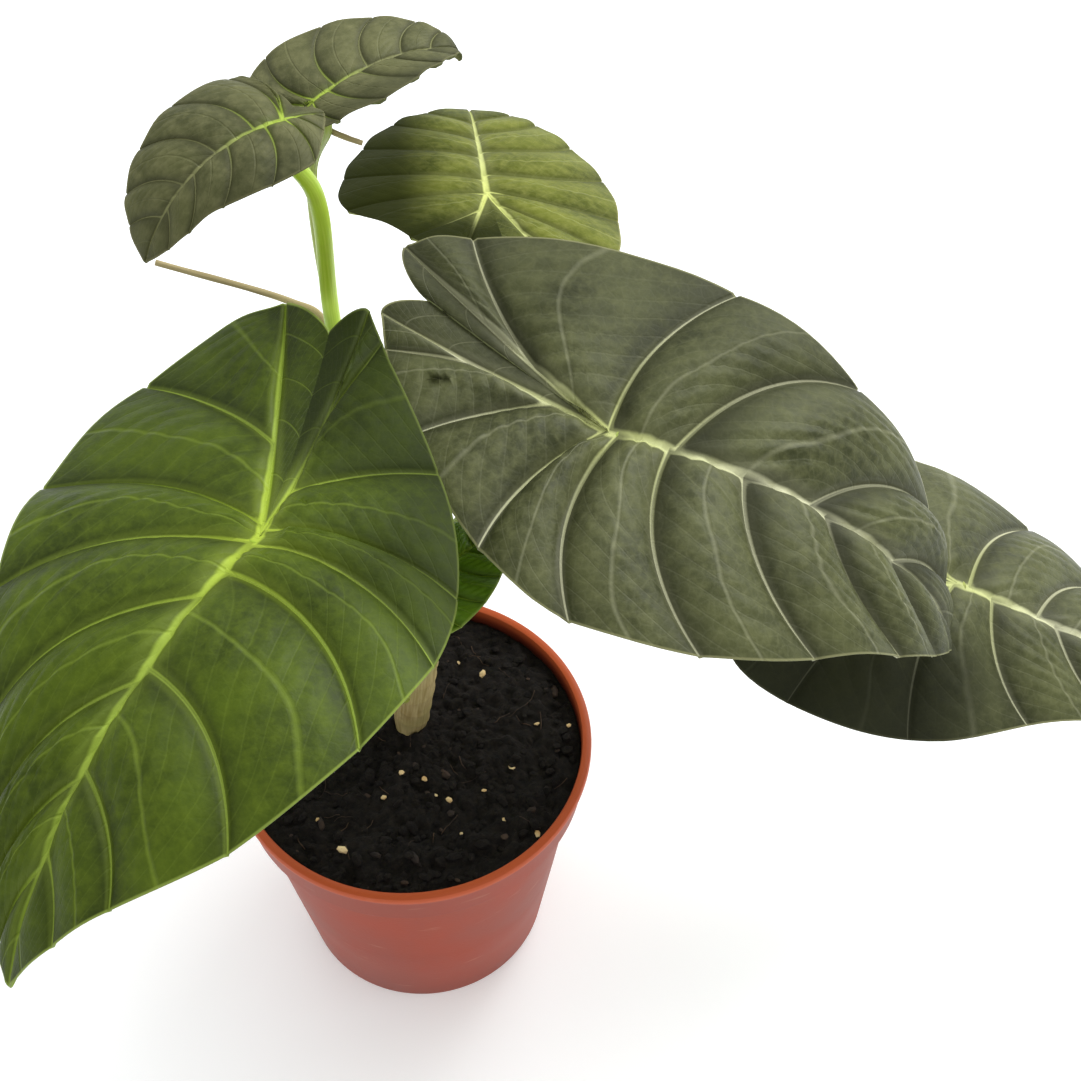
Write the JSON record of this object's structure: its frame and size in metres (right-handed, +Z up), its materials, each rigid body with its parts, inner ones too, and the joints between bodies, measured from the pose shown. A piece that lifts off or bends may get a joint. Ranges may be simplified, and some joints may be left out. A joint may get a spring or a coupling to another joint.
{
  "type": "potted alocasia",
  "caption": "Young alocasia with broad arrow-shaped leaves on long stalks, growing from a short trunk in a round terracotta-coloured plastic nursery pot of dark soil.",
  "frame": {"origin": "middle of the pot's flat underside", "axes": "+Z up along the pot's axis, -Y towards the viewer, +X to the viewer's right"},
  "size_m": [0.3821, 0.3835, 0.3112],
  "materials": {
    "pot_plastic": "satin moulded polypropylene, a little brighter on the rolled lip",
    "potting_soil": "loose fibrous peat, matt",
    "trunk_bark": "dry tan corky bark with leaf-scar rings",
    "mature_leaf": "satin grey-green blade with pale veins",
    "young_leaf": "satin olive-green blade with bright yellow-green veins",
    "green_stalk": "smooth succulent yellow-green stalk",
    "dry_stalk": "dry thin tan stalk"
  },
  "bodies": {
    "root": {"pot": "pot_plastic", "soil": "potting_soil", "trunk": "trunk_bark", "leaf_front": "young_leaf", "leaf_right": "mature_leaf", "leaf_low_right": "mature_leaf", "leaf_back": "mature_leaf", "leaf_top": "mature_leaf", "leaf_top_left": "mature_leaf", "leaf_young": "young_leaf", "stalk_front": "green_stalk", "stalk_right": "green_stalk", "stalk_low_right": "green_stalk", "stalk_back": "green_stalk", "stalk_top": "green_stalk", "stalk_top_left": "green_stalk", "stalk_young": "green_stalk", "spent_stalk": "dry_stalk", "spent_stub": "dry_stalk"}
  },
  "joints": []
}
